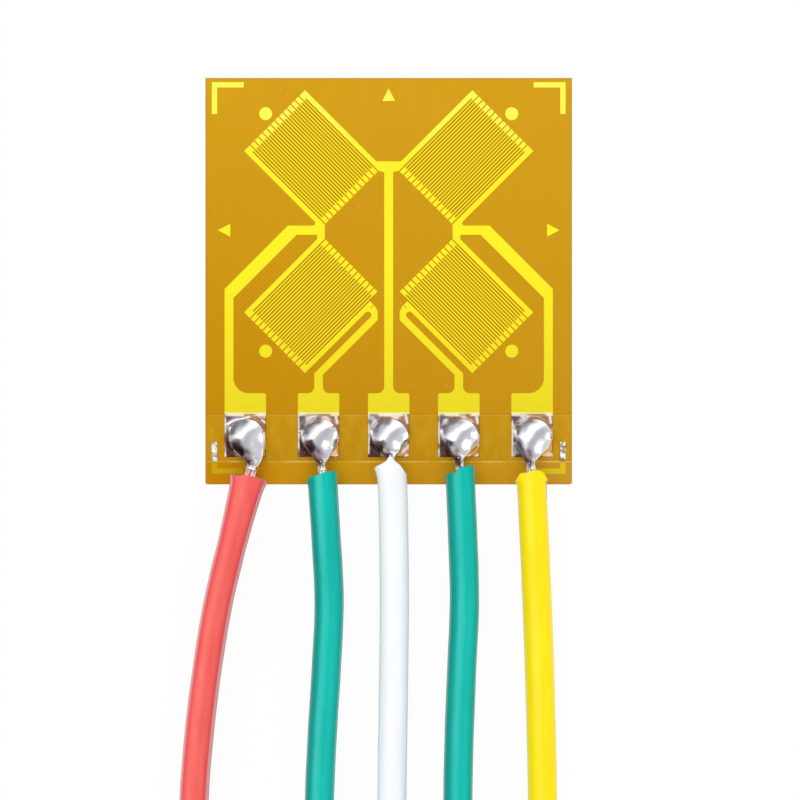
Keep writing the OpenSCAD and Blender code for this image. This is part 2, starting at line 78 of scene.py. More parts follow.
# ---------------------------------------------------------------- camera
bpy.context.scene.view_settings.view_transform = "Standard"
cam_data = bpy.data.cameras.new("camera")
cam = bpy.data.objects.new("camera", cam_data)
bpy.context.scene.collection.objects.link(cam)
bpy.context.scene.camera = cam
cam_data.lens, cam_data.sensor_width = 100, 36
cam_data.clip_start, cam_data.clip_end = 0.002, 5
VIEW_W = 25.1
cam.location = Vector((0.355, -3.728, VIEW_W * cam_data.lens / cam_data.sensor_width + 0.03)) * MM


# ---------------------------------------------------------------- helpers
def mesh_object(name, verts, faces, smooth=True, scale=MM):
    me = bpy.data.meshes.new(name)
    me.from_pydata([tuple(Vector(v) * scale) for v in verts], [], faces)
    me.validate()
    me.update()
    if smooth:
        me.shade_smooth()
    ob = bpy.data.objects.new(name, me)
    bpy.context.scene.collection.objects.link(ob)
    return ob


def smoothstep(a, b, x):
    t = min(max((x - a) / (b - a), 0.0), 1.0)
    return t * t * (3 - 2 * t)


def catmull(points, step):
    """Points about one step apart on a smooth curve through the given points."""
    out = []
    n = len(points)
    for k in range(n - 1):
        p0, p1 = points[max(k - 1, 0)], points[k]
        p2, p3 = points[k + 1], points[min(k + 2, n - 1)]
        parts = max(1, round((p2 - p1).length / step))
        for j in range(parts):
            t = j / parts
            out.append(0.5 * ((2 * p1) + (p2 - p0) * t + (2 * p0 - 5 * p1 + 4 * p2 - p3) * t * t
                              + (3 * p1 - p0 - 3 * p2 + p3) * t * t * t))
    out.append(points[-1].copy())
    return out


class Tree:
    """A material or world node tree with short ways to add nodes."""

    def __init__(self, owner):
        owner.use_nodes = True
        self.t = owner.node_tree
        self.t.nodes.clear()

    def node(self, kind, **settings):
        n = self.t.nodes.new(kind)
        for k, v in settings.items():
            setattr(n, k, v)
        return n

    def put(self, socket, value):
        if isinstance(value, bpy.types.NodeSocket):
            self.t.links.new(value, socket)
        elif value is not None:
            socket.default_value = value

    def math(self, op, a, b=None, c=None, clamp=False):
        n = self.node("ShaderNodeMath", operation=op, use_clamp=clamp)
        for s, v in zip(n.inputs, (a, b, c)):
            self.put(s, v)
        return n.outputs[0]

    def ramp(self, x, lo, hi, a=0.0, b=1.0, smooth=True):
        n = self.node("ShaderNodeMapRange", interpolation_type="SMOOTHSTEP" if smooth else "LINEAR")
        for s, v in zip(n.inputs, (x, lo, hi, a, b)):
            self.put(s, v)
        return n.outputs[0]

    def band(self, x, lo, hi, soft):
        """One between lo and hi, falling to zero over soft outside them."""
        return self.math("MULTIPLY", self.ramp(x, lo - soft, lo), self.ramp(x, hi, hi + soft, 1.0, 0.0))

    def mix(self, f, a, b, blend="MIX"):
        n = self.node("ShaderNodeMix", data_type="RGBA", blend_type=blend, clamp_factor=True)
        self.put(n.inputs[0], f)
        self.put(n.inputs[6], a)
        self.put(n.inputs[7], b)
        return n.outputs[2]

    def noise(self, vector, scale, detail=4.0, rough=0.55):
        n = self.node("ShaderNodeTexNoise")
        self.put(n.inputs["Vector"], vector)
        self.put(n.inputs["Scale"], scale)
        self.put(n.inputs["Detail"], detail)
        self.put(n.inputs["Roughness"], rough)
        return n.outputs["Fac"]

    def millimetres(self, stretch=(1, 1, 1)):
        """The place on the object in mm, in the shared frame."""
        c = self.node("ShaderNodeTexCoord").outputs["Object"]
        n = self.node("ShaderNodeVectorMath", operation="MULTIPLY")
        self.put(n.inputs[0], c)
        n.inputs[1].default_value = tuple(s / MM for s in stretch)
        return n.outputs[0]

    def xyz(self, vector):
        n = self.node("ShaderNodeSeparateXYZ")
        self.put(n.inputs[0], vector)
        return n.outputs

    def bump(self, height, strength, distance):
        n = self.node("ShaderNodeBump")
        self.put(n.inputs["Height"], height)
        self.put(n.inputs["Strength"], strength)
        self.put(n.inputs["Distance"], distance)
        return n.outputs[0]


def srgb(r, g, b, a=1.0):
    def lin(c):
        c /= 255
        return c / 12.92 if c <= 0.04045 else ((c + 0.055) / 1.055) ** 2.4
    return (lin(r), lin(g), lin(b), a)


def principled(name, **sockets):
    """A material with one Principled shader. Values go on its sockets, and so do the tree's outputs."""
    m = bpy.data.materials.new(name)
    t = Tree(m)
    p = t.node("ShaderNodeBsdfPrincipled")
    o = t.node("ShaderNodeOutputMaterial")
    t.t.links.new(p.outputs[0], o.inputs[0])
    for k, v in sockets.items():
        t.put(p.inputs[k.replace("_", " ")], v)
    return m, t, p


# ---------------------------------------------------------------- materials
def in_grids(t, x, y):
    """One inside the four slanted grids."""
    masks = []
    for y_at, sign in ((UPPER_GRID_Y, 1), (LOWER_GRID_Y, -1)):
        dx = t.math("SUBTRACT", t.math("ABSOLUTE", x), GRID_X)
        dy = t.math("MULTIPLY", t.math("SUBTRACT", y, y_at), sign)
        one = t.math("ABSOLUTE", t.math("ADD", dx, dy))
        other = t.math("ABSOLUTE", t.math("SUBTRACT", dy, dx))
        masks.append(t.math("MULTIPLY", t.ramp(one, 2.05, 2.15, 1.0, 0.0), t.ramp(other, 1.62, 1.72, 1.0, 0.0)))
    return t.math("ADD", *masks)


def film_material():
    m, t, p = principled("film", Roughness=0.3, Specular_IOR_Level=0.03)
    at = t.millimetres()
    x, y, _ = t.xyz(at)
    # painted shading: the film grows lighter towards its top, where its curl turns it to the light; low down it is a
    # little lighter at the right
    lower = t.mix(t.ramp(x, -5.5, 5.5, smooth=False), srgb(191, 134, 0), srgb(196, 144, 22))
    base = t.mix(t.ramp(y, -5.0, 6.0, smooth=False), lower, srgb(211, 160, 27))
    foot = t.mix(t.ramp(x, -5.5, 5.5, smooth=False), srgb(196, 136, 0), srgb(202, 151, 46))
    # painted light: the strip is lighter between the leads, lifting the shade they cast on it
    foot = t.mix(t.ramp(t.math("ABSOLUTE", x), 5.0, 4.3, 0.0, 0.6), foot, srgb(220, 160, 16))
    base = t.mix(t.ramp(y, STRIP_TOP + 0.01, STRIP_TOP - 0.01), base, foot)
    # broad clouds and a fine grain along the film
    base = t.mix(t.ramp(t.noise(at, 0.35, 3), 0.35, 0.7, 0.0, 0.2), base, srgb(206, 152, 18))
    grain = t.noise(t.millimetres((9, 0.6, 1)), 1.0, 5)
    base = t.mix(t.ramp(grain, 0.4, 0.75, 0.0, 0.1), base, srgb(184, 127, 4))
    # the bare window is paler and scuffed
    window = t.band(y, STRIP_TOP, WINDOW_TOP, 0.02)
    scuffs = t.noise(t.millimetres((2.4, 1.1, 1)), 1.2, 5, 0.6)
    pale = t.mix(t.ramp(scuffs, 0.35, 0.7), srgb(192, 142, 18), srgb(204, 157, 34))
    base = t.mix(t.math("MULTIPLY", window, 0.6), base, pale)
    # the etched slots of the grids are darker
    base = t.mix(t.math("MULTIPLY", in_grids(t, x, y), 0.95), base, srgb(168, 130, 0))
    specks = t.ramp(t.noise(at, 9.0, 1), 0.77, 0.8)
    base = t.mix(t.math("MULTIPLY", specks, 0.5), base, srgb(232, 196, 120))
    # a painted shadow under the cover's edge with a faint painted highlight below it, and a painted highlight along the
    # strip's edge
    base = t.mix(t.math("MULTIPLY", t.band(y, -4.175, -4.16, 0.012), 0.45), base, srgb(150, 100, 8))
    base = t.mix(t.math("MULTIPLY", t.band(y, -4.215, -4.195, 0.015), 0.15), base, srgb(236, 196, 90))
    edge = t.band(y, -5.675, -5.65, 0.015)
    edge = t.math("MULTIPLY", edge, t.ramp(t.noise(t.millimetres((1.2, 1, 1)), 1.0, 2), 0.4, 0.6, 0.25, 0.8))
    base = t.mix(edge, base, srgb(240, 208, 110))
    # trimmed sides
    rim = t.math("MAXIMUM", t.ramp(t.math("ABSOLUTE", x), 5.68, 5.75), t.ramp(t.math("ABSOLUTE", y), 6.32, 6.375))
    base = t.mix(t.math("MULTIPLY", rim, 0.35), base, srgb(150, 96, 4))
    t.put(p.inputs["Base Color"], base)
    fine = t.math("ADD", grain, t.math("MULTIPLY", scuffs, window))
    t.put(p.inputs["Normal"], t.bump(fine, 0.25, 0.00001))
    return m


def cover_material():
    m, t, p = principled("cover", Alpha=0.025, Specular_IOR_Level=0.06)
    at = t.millimetres()
    tint = t.mix(t.noise(at, 0.8, 3), srgb(210, 150, 20), srgb(226, 170, 34))
    t.put(p.inputs["Base Color"], tint)
    t.put(p.inputs["Roughness"], t.ramp(t.noise(t.millimetres((0.7, 6, 1)), 1.5, 4), 0.3, 0.7, 0.12, 0.3))
    t.put(p.inputs["Normal"], t.bump(t.noise(t.millimetres((1, 0.4, 1)), 0.9, 2), 0.15, 0.00003))
    return m


def foil_material():
    m, t, p = principled("foil", Roughness=0.42, Specular_IOR_Level=0.05)
    at = t.millimetres()
    x, y, _ = t.xyz(at)
    tone = t.mix(t.ramp(y, -5.5, 1.5), srgb(230, 214, 38), srgb(255, 244, 44))
    tone = t.mix(t.ramp(y, 3.5, 5.4), tone, srgb(255, 253, 92))
    tone = t.mix(t.math("MULTIPLY", in_grids(t, x, y), 0.9), tone, srgb(250, 219, 46))
    rolled = t.noise(t.millimetres((1.2, 16, 1)), 1.0, 5)
    tone = t.mix(t.ramp(rolled, 0.35, 0.75, 0.0, 0.4), tone, srgb(244, 232, 28))
    spots = t.ramp(t.noise(at, 6.0, 2), 0.72, 0.78)
    tone = t.mix(t.math("MULTIPLY", spots, 0.3), tone, srgb(214, 196, 30))
    # a painted highlight: a pale band along the cover's edge on the pads, where the solder's raised rim catches the
    # light
    tone = t.mix(t.math("MULTIPLY", t.band(y, -4.17, -4.13, 0.025), 0.85), tone, srgb(255, 252, 175))
    # the lower corner marks are dull under the strip, more so at the left
    mark = t.math("MULTIPLY", t.ramp(y, STRIP_TOP + 0.02, STRIP_TOP - 0.02), t.ramp(x, -3, 3, 0.85, 0.35))
    tone = t.mix(mark, tone, srgb(196, 160, 6))
    t.put(p.inputs["Base Color"], tone)
    t.put(p.inputs["Normal"], t.bump(rolled, 0.2, 0.00001))
    return m


def fleck_material():
    """Small lumps of solder, frosted white with dull metal between them, duller at the right."""
    m, t, p = principled("solder_fleck", Roughness=0.3)
    at = t.millimetres()
    x, _, _ = t.xyz(at)
    dull = t.ramp(t.noise(t.millimetres((1, 0.8, 1)), 8.0, 2), 0.44, 0.56, 0.0, 1.0)
    dull = t.math("MULTIPLY", dull, t.ramp(x, -3.0, 3.0, 0.7, 1.0))
    t.put(p.inputs["Metallic"], dull)
    t.put(p.inputs["Base Color"], t.mix(dull, srgb(255, 255, 252), srgb(176, 164, 150)))
    t.put(p.inputs["Normal"], t.bump(t.noise(at, 9.0, 3), 0.6, 0.00006))
    return m


def solder_material():
    m, t, p = principled("solder", Metallic=1.0)
    at = t.millimetres()
    tone = t.mix(t.ramp(t.noise(at, 2.2, 3), 0.3, 0.7), (0.9, 0.9, 0.92, 1), (1, 1, 1, 1))
    tone = t.mix(1.0, tone, t.node("ShaderNodeAttribute", attribute_name="tint").outputs["Color"], "MULTIPLY")
    t.put(p.inputs["Base Color"], tone)
    t.put(p.inputs["Roughness"], t.ramp(t.noise(at, 5.0, 4), 0.35, 0.75, 0.12, 0.24))
    fine = t.math("ADD", t.noise(at, 3.5, 3), t.math("MULTIPLY", t.noise(at, 26.0, 3), 0.06))
    t.put(p.inputs["Normal"], t.bump(fine, 0.15, 0.00005))
    return m


def tinning_material():
    """The thin solder on the pads, with brown flux in it; its tint is made with the mesh."""
    m, t, p = principled("tinning")
    at = t.millimetres()
    tint = t.node("ShaderNodeAttribute", attribute_name="tint").outputs["Color"]
    t.put(p.inputs["Metallic"], t.ramp(t.xyz(tint)[0], 0.6, 0.9, 0.85, 0.3))
    tint = t.mix(t.ramp(t.noise(at, 9.0, 4), 0.35, 0.7, 0.0, 0.2), tint, (0.5, 0.36, 0.3, 1))
    t.put(p.inputs["Base Color"], tint)
    t.put(p.inputs["Roughness"], t.ramp(t.noise(at, 6.0, 4), 0.3, 0.7, 0.16, 0.34))
    t.put(p.inputs["Normal"], t.bump(t.noise(at, 8.0, 4), 0.25, 0.00004))
    return m


def core_material(name, light, dark, metallic=1.0):
    m, t, p = principled(name, Metallic=metallic)
    at = t.millimetres()
    tone = t.mix(t.ramp(t.noise(at, 7.0, 3), 0.4, 0.65), light, dark)
    t.put(p.inputs["Base Color"], tone)
    t.put(p.inputs["Roughness"], t.ramp(t.noise(at, 12.0, 3), 0.3, 0.7, 0.16, 0.34))
    t.put(p.inputs["Normal"], t.bump(t.noise(t.millimetres((4, 0.8, 4)), 4.0, 3), 0.3, 0.00002))
    return m


def pvc_material(name, light, dark, edge, shine, pale, left_shade=0.0, gleam=0.5, rim=0.5, slit=False):
    m, t, p = principled(name, Specular_IOR_Level=0.16)
    at = t.millimetres()
    base = t.mix(t.ramp(t.noise(t.millimetres((2.4, 0.5, 2.4)), 1.0, 4), 0.32, 0.7), light, dark)
    scuff = t.ramp(t.noise(t.millimetres((7, 1.1, 7)), 1.0, 5, 0.7), 0.62, 0.75)
    base = t.mix(t.math("MULTIPLY", scuff, 0.08), base, (0.95, 0.95, 0.95, 1))
    across, _, up = t.xyz(t.node("ShaderNodeNewGeometry").outputs["Normal"])
    # painted shade: the colour is darker down both sides, and most along the left one
    base = t.mix(t.ramp(up, 0.93, 0.62, 0.0, 0.75), base, edge)
    base = t.mix(t.ramp(across, -0.3, -0.6, 0.0, left_shade), base, (0, 0, 0, 1))
    # painted highlights: a lighter stripe along the top, and a pale line along the upper part of each side
    stripe = t.math("MULTIPLY", t.band(across, -0.28, -0.2, 0.36), t.ramp(up, 0.4, 0.7))
    highlight_patches = t.ramp(t.noise(t.millimetres((2, 0.3, 2)), 1.0, 3), 0.3, 0.7, 0.35 * gleam, gleam)
    base = t.mix(t.math("MULTIPLY", stripe, highlight_patches), base, shine)
    side = t.band(up, 0.3, rim - 0.16, 0.16)
    base = t.mix(t.math("MULTIPLY", side, 0.75), base, pale)
    if slit:
        x, y, _ = t.xyz(at)
        cut = t.math("MULTIPLY", t.band(x, 4.895, 4.915, 0.012), t.band(y, -6.75, -6.25, 0.1))
        base = t.mix(t.math("MULTIPLY", cut, 0.6), base, srgb(110, 96, 60))
    t.put(p.inputs["Base Color"], base)
    t.put(p.inputs["Roughness"], t.ramp(t.noise(at, 4.0, 4), 0.3, 0.7, 0.16, 0.26))
    t.put(p.inputs["Subsurface Weight"], 0.12)
    t.put(p.inputs["Subsurface Radius"], (0.0004, 0.0004, 0.0004))
    t.put(p.inputs["Normal"], t.bump(t.noise(t.millimetres((5, 1, 5)), 1.4, 4), 0.25, 0.00003))
    return m


FILM = film_material()
COVER = cover_material()
FOIL = foil_material()
SOLDER = solder_material()
FLECK = fleck_material()
TINNING = tinning_material()
CORE = core_material("tinned_strand", srgb(250, 240, 230), srgb(226, 206, 186))
CORE_PINK = core_material("tinned_strand_red", srgb(250, 220, 212), srgb(232, 176, 170), 0.6)
PVC = {
    "red": pvc_material(
        "pvc_red", srgb(243, 103, 96), srgb(237, 92, 88), srgb(228, 68, 78),
        srgb(252, 140, 128), srgb(206, 172, 172), rim=0.66,
    ),
    "green_left": pvc_material(
        "pvc_green", srgb(0, 190, 178), srgb(0, 180, 167), srgb(0, 164, 152),
        srgb(90, 214, 202), srgb(128, 170, 162), left_shade=0.24, gleam=0.4,
    ),
    "white": pvc_material(
        "pvc_white", srgb(248, 250, 254), srgb(240, 243, 248), srgb(240, 243, 247),
        srgb(250, 251, 254), srgb(208, 208, 214),
    ),
    "yellow": pvc_material(
        "pvc_yellow", srgb(255, 231, 10), srgb(253, 224, 6), srgb(252, 222, 6),
        srgb(255, 238, 90), srgb(232, 220, 120), gleam=0.4, slit=True,
    ),
}
PVC["green_right"] = PVC["green_left"]


# ---------------------------------------------------------------- leads
def lead_end(i, side, up):
    """(how far the insulation reaches beyond its start, swell of its radius) at a place on its near rim.
    side is 1 at the right and -1 at the left, up is 1 on top, as the camera sees the lead."""
    ragged = noise.noise(Vector((side * 2.3, up * 2.3, i * 7.1))) * 0.03
    ragged += noise.noise(Vector((side * 6.0, up * 6.0, i * 3.1))) * 0.012
    if i == 0:
        lip = 0.06 * math.exp(-((side + 0.75) / 0.2) ** 2)
        return 0.02 + 0.03 * side - lip + ragged, 0.05 + 0.1 * smoothstep(0.4, 1.0, abs(side))
    if i == 1:
        lip = 0.1 * smoothstep(0.75, 1.0, -side)
        return 0.1 * side - lip + ragged, 0.13 * smoothstep(0.6, 1.0, -side)
    if i == 2:
        peak = 0.19 * math.exp(-((side + 0.02) / 0.3) ** 2) + 0.1 * math.exp(-((side + 0.1) / 0.7) ** 2)
        return peak - 0.22 * smoothstep(0.45, 1.0, side) + ragged, 0.19 * smoothstep(0.1, 0.9, -side)
    if i == 3:
        notch = -0.12 * math.exp(-((side + 0.42) / 0.2) ** 2) - 0.05 * smoothstep(0.1, 0.9, -side)
        return 0.09 * side + notch + ragged, 0.0
    crown = 0.04 * math.exp(-((side - 0.4) / 0.35) ** 2) - 0.2 * smoothstep(0.7, 1.0, abs(side))
    return crown + ragged, 0.16 * smoothstep(0.55, 1.0, abs(side))


LINE_STEP = 0.25
RED_SPREAD, RED_SPREAD_LENGTH = 0.14, 2.4


def widened(i, c, along):
    """The heat of soldering has spread the red insulation sideways near its end."""
    return 1 + RED_SPREAD * c * c * (1 - smoothstep(0.0, RED_SPREAD_LENGTH, along)) if i == 0 else 1.0


def make_lead(i):
    points = lead_points(i)
    line = catmull(points, LINE_STEP)
    sides = 48
    verts, faces = [], []
    r = LEAD_D / 2
    core_r = 0.17
    d0 = (line[1] - line[0]).normalized()

    def ring_frame(d):
        side = d.cross(Vector((0, 0, 1))).normalized() * -1  # to the right in the picture
        return side, side.cross(d).normalized() * (1 if side.cross(d).z > 0 else -1)

    def add_ring(centre, d, radius_at, shift_at=None):
        side, up = ring_frame(d)
        for s in range(sides):
            a = 2 * math.pi * s / sides
            ca, sa = math.cos(a), math.sin(a)
            p = centre + (side * ca + up * sa) * radius_at(ca, sa)
            if shift_at:
                p = p - d * shift_at(ca, sa)
            verts.append(p)

    def share(k):
        """How much of the rim's shape is left at the ring k behind the near end."""
        return (1.0, 0.72, 0.42, 0.18, 0.05, 0.0)[min(k, 5)]

    # rings of the cut end, from the core outwards
    cut = [(core_r, 0.06), (0.6 * r, 0.03), (0.88 * r, 0.0), (0.975 * r, 0.012)]
    for radius, depth in cut:
        add_ring(line[0], d0,
                 lambda c, s, q=radius: q * (1 + lead_end(i, c, s)[1]) * widened(i, c, 0.0),
                 lambda c, s, q=radius, w=depth: lead_end(i, c, s)[0] * min(1.0, q / r + 0.1) - w)
    cap = len(cut)
    # the near stretch in short steps, then the whole line
    near = [0.03, 0.08, 0.16, 0.27, 0.42]
    for k, along in enumerate(near):
        f = share(k)
        add_ring(line[0] + d0 * along, d0,
                 lambda c, s, q=f, w=along: r * (1 + lead_end(i, c, s)[1] * q) * widened(i, c, w),
                 lambda c, s, q=f: lead_end(i, c, s)[0] * q)
    for k in range(3, len(line)):
        d = (line[min(k + 1, len(line) - 1)] - line[k - 1]).normalized()
        wobble = 1 - 0.012 * (0.5 + noise.noise(line[k] * 1.3 + Vector((i * 5.0, 0, 0))))
        add_ring(line[k], d, lambda c, s, q=wobble, w=LINE_STEP * k: r * q * widened(i, c, w))
    # the far end, cut square round the core
    end = line[-1]
    add_ring(end, d, lambda c, s: r * 0.97)
    add_ring(end, d, lambda c, s: core_r)
    rings = len(verts) // sides
    for k in range(rings - 1):
        for s in range(sides):
            a, b = k * sides + s, k * sides + (s + 1) % sides
            faces.append((a, a + sides, b + sides, b))
    faces.append(tuple(range(sides)))
    faces.append(tuple(reversed(range((rings - 1) * sides, rings * sides))))
    ob = mesh_object("insulation_" + LEADS[i], verts, faces)
    ob.data.materials.append(PVC[LEADS[i]])
    return ob, points, line


lead_objects = []
for i, name in enumerate(LEADS):
    ob, points, line = make_lead(i)
    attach(ob, "root")
    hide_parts("lead_" + name)
    lead_objects.append(ob)


# Solder joints
BEAD_R, BEAD_H, BEAD_FOOT, RIM_POWER = 0.6, 0.31, 0.07, 1.12
CORE_R, CORE_LOW = 0.155, 0.29
# Tints of the thin solder
DARK_TIN, PURPLE_TIN = (0.08, 0.03, 0.03, 1), (0.14, 0.1, 0.13, 1)
BROWN_TIN, AMBER_TIN = (0.42, 0.2, 0.09, 1), (0.55, 0.27, 0.03, 1)
# the colour of the painted highlights on the thin solder
HIGHLIGHT_TIN = (1, 0.98, 0.95, 1)
# Tints of the bead; the dull and dark ones paint dim reflections into the metal
BEAD_TINT, PAINTED_DULL_REFLECTION = (0.93, 0.93, 0.95, 1), (0.7, 0.67, 0.71, 1)
PAINTED_DARK_REFLECTION, BROWN_TINT = (0.05, 0.035, 0.045, 1), (0.2, 0.12, 0.13, 1)
# Painted highlights on the thin solder: two ends and a half width, in half pads from a pad's middle
GLINTS = [((-0.84, 0.2), (-0.68, -0.14), 0.1), ((0.82, 0.95), (0.9, 0.6), 0.07), ((0.82, -0.95), (0.9, -0.9), 0.06)]
FIRST_GLINTS = [((-0.94, 0.48), (-0.46, 0.74), 0.07), ((-0.46, 0.74), (0.16, 0.86), 0.07),
                ((-0.72, 0.32), (-0.66, 0.2), 0.11), ((0.92, 0.1), (0.9, -0.2), 0.07), ((0.8, 0.72), (0.95, 0.6), 0.05)]
# How much of the core beyond the tail a skin of solder covers
SKIN_SHARES = [0.35, 0.6, 0.7, 0.75, 0.6]
SPREAD = [0.2, 0.145, 0.14, 0.145, 0.155]


def hermite(t, a, da, b, db):
    return ((2 * t ** 3 - 3 * t ** 2 + 1) * a + (t ** 3 - 2 * t ** 2 + t) * da
            + (3 * t ** 2 - 2 * t ** 3) * b + (t ** 3 - t ** 2) * db)


class Joint:
    """The shape of one solder joint: a bead on the pad that narrows to a tail round the core."""

    def __init__(self, i):
        self.i = i
        points = lead_points(i)
        self.d0 = (points[1] - points[0]).normalized()
        self.start = points[0]
        self.tail = points[0] - self.d0 * CORE_L[i]
        self.centre = Vector((PADS[i] + BEAD_SHIFT, BEAD_Y, FOIL_TOP))
        self.out = Vector((self.d0.x, self.d0.y, 0)).normalized()
        self.end = Vector((self.tail.x, self.tail.y, 0)) + self.out * 0.16
        self.chord = self.end - Vector((self.centre.x, self.centre.y, 0))
        self.reach = self.chord.length
        self.back = self.chord.normalized()
        self.slope = self.d0.z / math.hypot(self.d0.x, self.d0.y)
        self.bare = (Vector((self.start.x, self.start.y, 0)) - self.end).length

    def line(self, s):
        """The place of the middle line at s, seen from above, and its direction."""
        c = Vector((self.centre.x, self.centre.y, 0))
        if s <= 0:
            return c + self.back * s, self.back
        if s >= self.reach:
            return self.end + self.out * (s - self.reach), self.out
        t = s / self.reach
        at = Vector([hermite(t, c[k], self.back[k] * self.reach, self.end[k], self.out[k] * self.reach)
                     for k in range(3)])
        h = 0.001
        q = Vector([hermite(t + h, c[k], self.back[k] * self.reach, self.end[k], self.out[k] * self.reach)
                    for k in range(3)])
        return at, (q - at).normalized()

    def half_width(self, s):
        turn = 0.1
        if s <= turn:
            return math.sqrt(max(BEAD_R ** 2 - s * s, 0.0))
        w1 = math.sqrt(BEAD_R ** 2 - turn ** 2)
        if s >= self.reach:
            return SPREAD[self.i]
        span = self.reach - turn
        return hermite((s - turn) / span, w1, -turn / w1 * span - 0.12 * span, SPREAD[self.i], -0.42 * span)

    def core_z(self, s):
        """Height of the core's axis, which sinks from the insulation to the pad."""
        low_at = self.reach - 0.16
        span = self.reach + self.bare - low_at
        t = min(max((s - low_at) / span, 0.0), 1.0)
        return hermite(t, CORE_LOW, 0.2 * span, self.start.z, self.slope * span)

    def heights(self, s):
        """Underside, middle and ridge of the solder at s."""
        top_end = self.core_z(s) + CORE_R
        low_end = self.core_z(s) - CORE_R
        cap = BEAD_H * max(1 - (s / BEAD_R) ** 2, 0.0) ** RIM_POWER if s < 0 else BEAD_H
        t = min(max(s / self.reach, 0.0), 1.0)
        ridge = FOIL_TOP + BEAD_FOOT + cap
        if s > 0:
            dip = -0.07 * math.sin(math.pi * t ** 1.4) ** 2
            ridge += (top_end - ridge) * smoothstep(0.1, 1.0, t) + dip
        under = FOIL_TOP + (low_end - FOIL_TOP) * smoothstep(0.5, 0.98, t)
        foot = FOIL_TOP + BEAD_FOOT
        middle = foot + (self.core_z(s) - foot) * smoothstep(0.2, 0.95, t)
        return under, min(middle, ridge), ridge

    def power(self, s):
        """How the section falls from its ridge to its sides: 0.5 is round and 1 a parabola."""
        return RIM_POWER - (RIM_POWER - 0.5) * smoothstep(0.05, 0.9, s / self.reach)

    def outside(self, x, y):
        """Distance of a place on the pad from the foot of the bead."""
        d = Vector((x - self.centre.x, y - self.centre.y, 0))
        s = d.dot(self.back)
        if s <= 0:
            return d.length - BEAD_R
        at, way = self.line(min(s, self.reach))
        across = abs((Vector((x, y, 0)) - at).cross(way).z)
        return across - self.half_width(min(s, self.reach))


def make_joint(i):
    j = Joint(i)
    sides = 96
    stations = [-BEAD_R * math.cos(math.radians(a)) for a in (2, 6, 12, 18, 25, 32, 40, 48, 56, 64, 72, 80, 90)]
    stations += [j.reach * k / 26 for k in range(1, 27)]
    skin = j.bare * SKIN_SHARES[i]
    steps = max(2, round(skin / 0.03))
    stations += [j.reach + skin * k / steps for k in range(1, steps + 1)]
    verts, faces = [], []
    at, way = j.line(-BEAD_R)
    verts.append(Vector((at.x, at.y, FOIL_TOP + BEAD_FOOT)))
    for s in stations:
        at, way = j.line(s)
        right = Vector((-way.y, way.x, 0))
        under, middle, ridge = j.heights(s)
        w, power = j.half_width(s), j.power(s)
        for k in range(sides):
            a = 2 * math.pi * k / sides
            ca, sa = math.cos(a), math.sin(a)
            if sa >= 0:
                z = middle + (ridge - middle) * sa ** (2 * power)
            else:
                z = middle - (middle - under) * -sa
            p = at + right * w * ca
            p.z = z
            lump = noise.noise(p * 1.5 + Vector((i * 3.7, 0, 0))) * 0.03 * smoothstep(0.2, 0.45, w)
            lump += noise.noise(p * 5.0 + Vector((0, i * 5.3, 0))) * 0.008
            if s > j.reach:
                lump += 0.012 * math.cos(6 * a + i) + 0.014 * noise.noise(Vector((ca * 3, sa * 3, s * 7 + i)))
            if sa > 0:
                p.z += lump * sa
                p += right * (lump * 0.4 * ca)
            if s <= 0 or middle < FOIL_TOP + 0.05:
                p.z = max(p.z, FOIL_TOP)
            verts.append(p)
    rings = len(stations)
    for k in range(sides):
        faces.append((0, 1 + (k + 1) % sides, 1 + k))
    for r in range(rings - 1):
        for k in range(sides):
            a, b = 1 + r * sides + k, 1 + r * sides + (k + 1) % sides
            faces.append((a, b, b + sides, a + sides))
    last = 1 + (rings - 1) * sides
    faces.append(tuple(last + k for k in range(sides)))
    body_faces, body_verts = len(faces), len(verts)
    add_tinning(j, verts, faces)
    ob = mesh_object("solder_" + LEADS[i], verts, faces)
    ob.data.materials.append(SOLDER)
    ob.data.materials.append(TINNING)
    for face in ob.data.polygons:
        face.material_index = 0 if face.index < body_faces else 1
    tint = ob.data.attributes.new("tint", "FLOAT_COLOR", "POINT")
    for k, v in enumerate(verts):
        tint.data[k].color = tin_tint(j, v) if k >= body_verts else bead_tint(j, v)
    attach(ob, "root")
    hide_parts("solder_joint_" + LEADS[i])
    return ob


def blend(a, b, f):
    return tuple(p + (q - p) * f for p, q in zip(a, b))


def ridge_mask(a, b, start, end, half):
    """One on the line from start to end, falling off over half to its sides and past its ends."""
    run = Vector((end[0] - start[0], end[1] - start[1]))
    p = Vector((a - start[0], b - start[1]))
    t = min(max(p.dot(run) / run.length_squared, 0.0), 1.0)
    return math.exp(-((p - run * t).length / half) ** 2)


def bead_tint(j, v):
    """Colour of the bead: a painted dim reflection along its middle and a painted dark reflection along its lower left
    flank; it is browner towards its neck.
    """
    d = Vector((v.x - j.centre.x, v.y - j.centre.y, 0))
    right = Vector((-j.back.y, j.back.x, 0))
    a, b = d.dot(right) / BEAD_R, d.dot(j.back) / BEAD_R
    seed = Vector((v.x, v.y, 3.0 + j.i))
    a += 0.1 * noise.noise(seed * 2.5)
    b += 0.1 * noise.noise(seed * 2.2 + Vector((5, 5, 5)))
    tint = blend(BEAD_TINT, PAINTED_DULL_REFLECTION, 0.8 * ridge_mask(a, b, (0.4, -0.4), (-0.2, 0.45), 0.2))
    tint = blend(tint, PAINTED_DARK_REFLECTION, 0.95 * ridge_mask(a, b, (-0.72, 0.42), (-0.12, 1.25), 0.24))
    return blend(tint, BROWN_TINT, 0.85 * ridge_mask(a, b, (-0.15, 0.75), (0.06, 1.45), 0.17))


